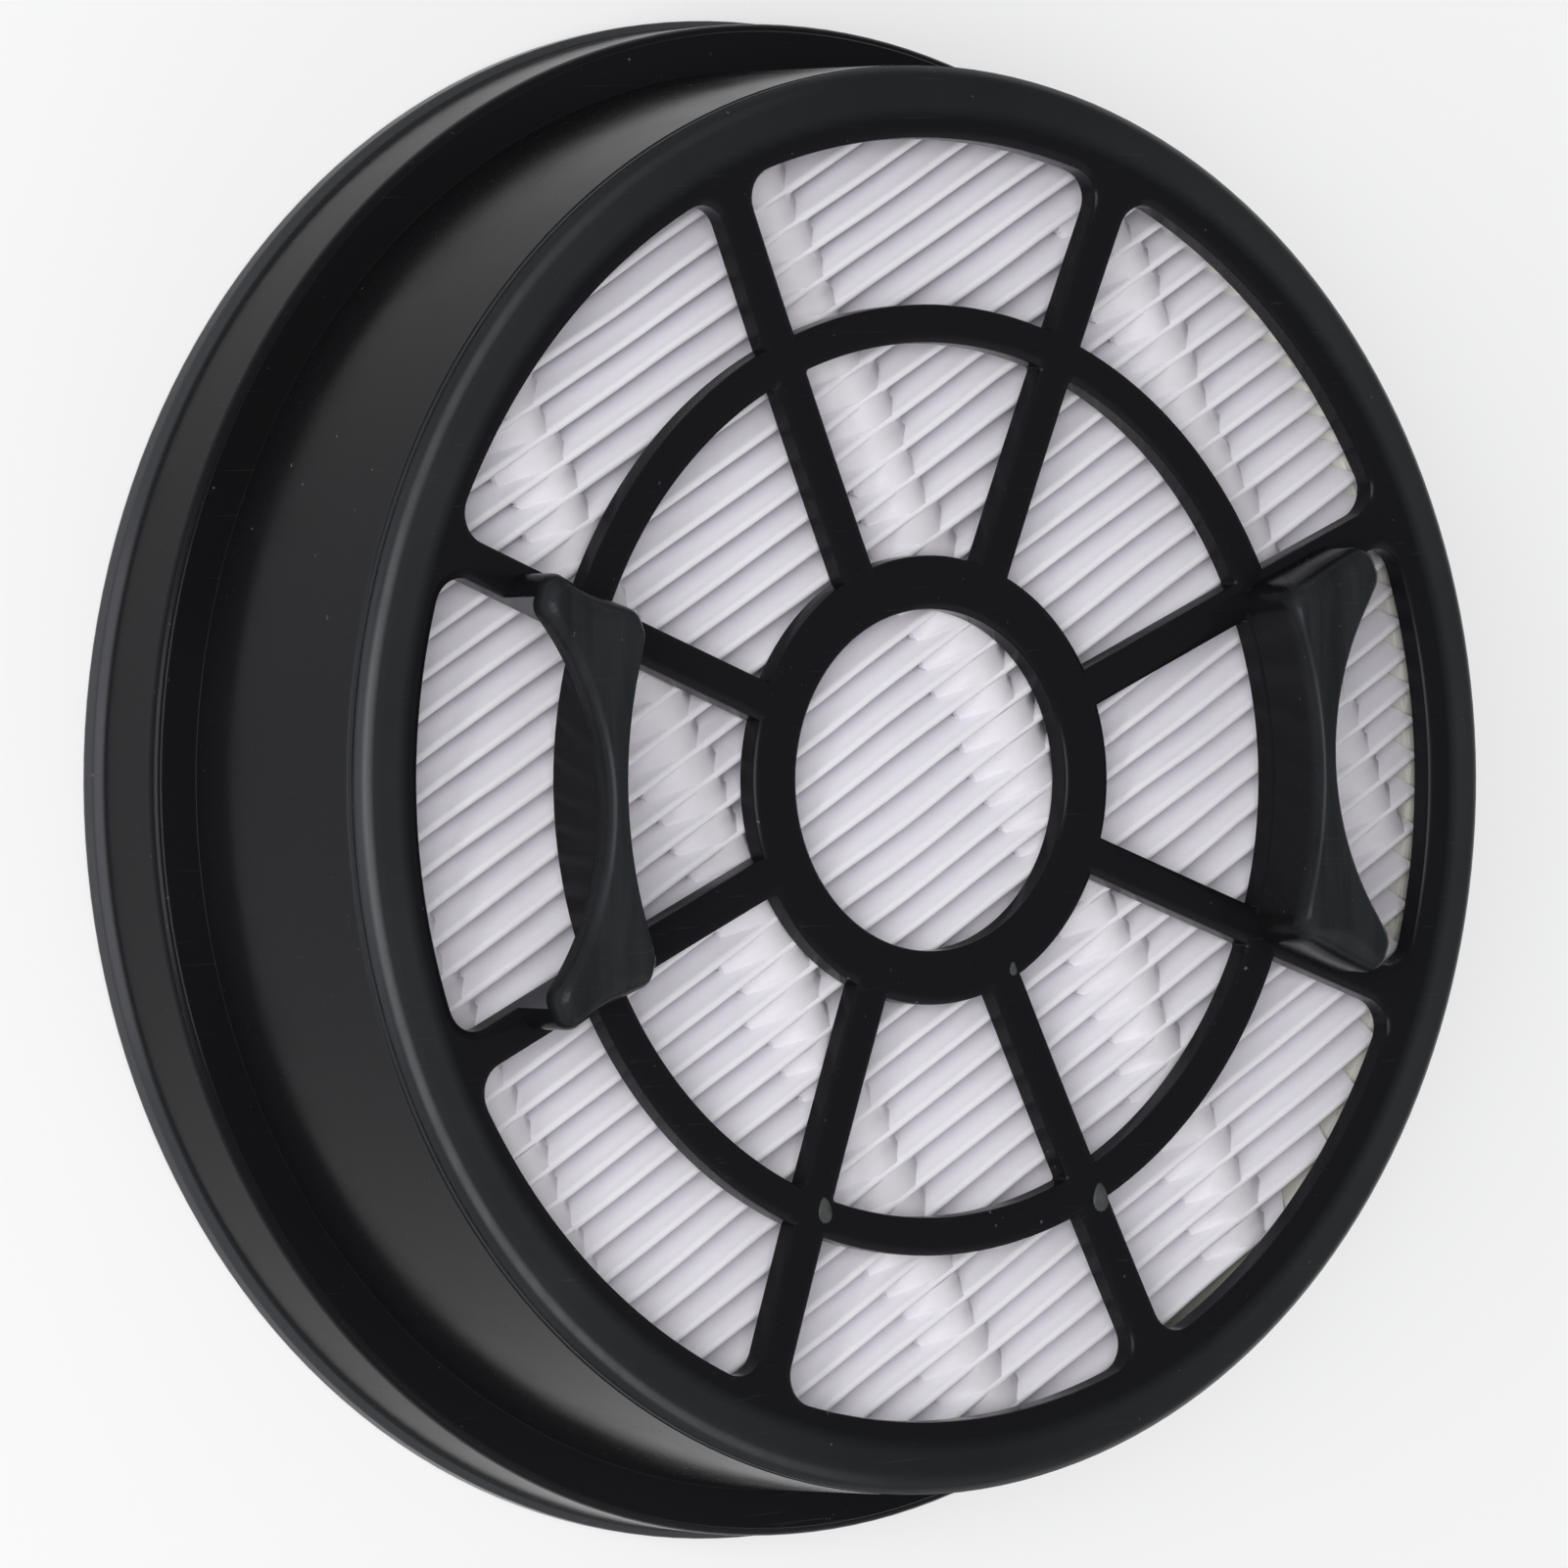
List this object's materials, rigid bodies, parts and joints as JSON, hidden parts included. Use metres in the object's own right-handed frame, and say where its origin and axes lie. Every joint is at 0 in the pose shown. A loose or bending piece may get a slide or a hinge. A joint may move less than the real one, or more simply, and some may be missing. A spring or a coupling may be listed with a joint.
{
  "type": "vacuum cleaner filter",
  "caption": "Round pleated air filter in a stepped black plastic frame with a dished front grid and two raised finger grips.",
  "frame": {"origin": "centre of the flange's back lip, on the plane that the filter rests on", "axes": "+Z along the filter's axis towards the grid, +X through the two finger grips"},
  "size_m": [0.13, 0.13, 0.0367],
  "materials": {
    "black_plastic": "moulded gloss",
    "filter_paper": "matt fleece",
    "hot_melt": "waxy"
  },
  "bodies": {
    "root": {"frame": "black_plastic", "pleated_media": "filter_paper", "pack_adhesive": "hot_melt", "front_separator_beads": "hot_melt", "back_separator_beads": "hot_melt"}
  },
  "joints": []
}
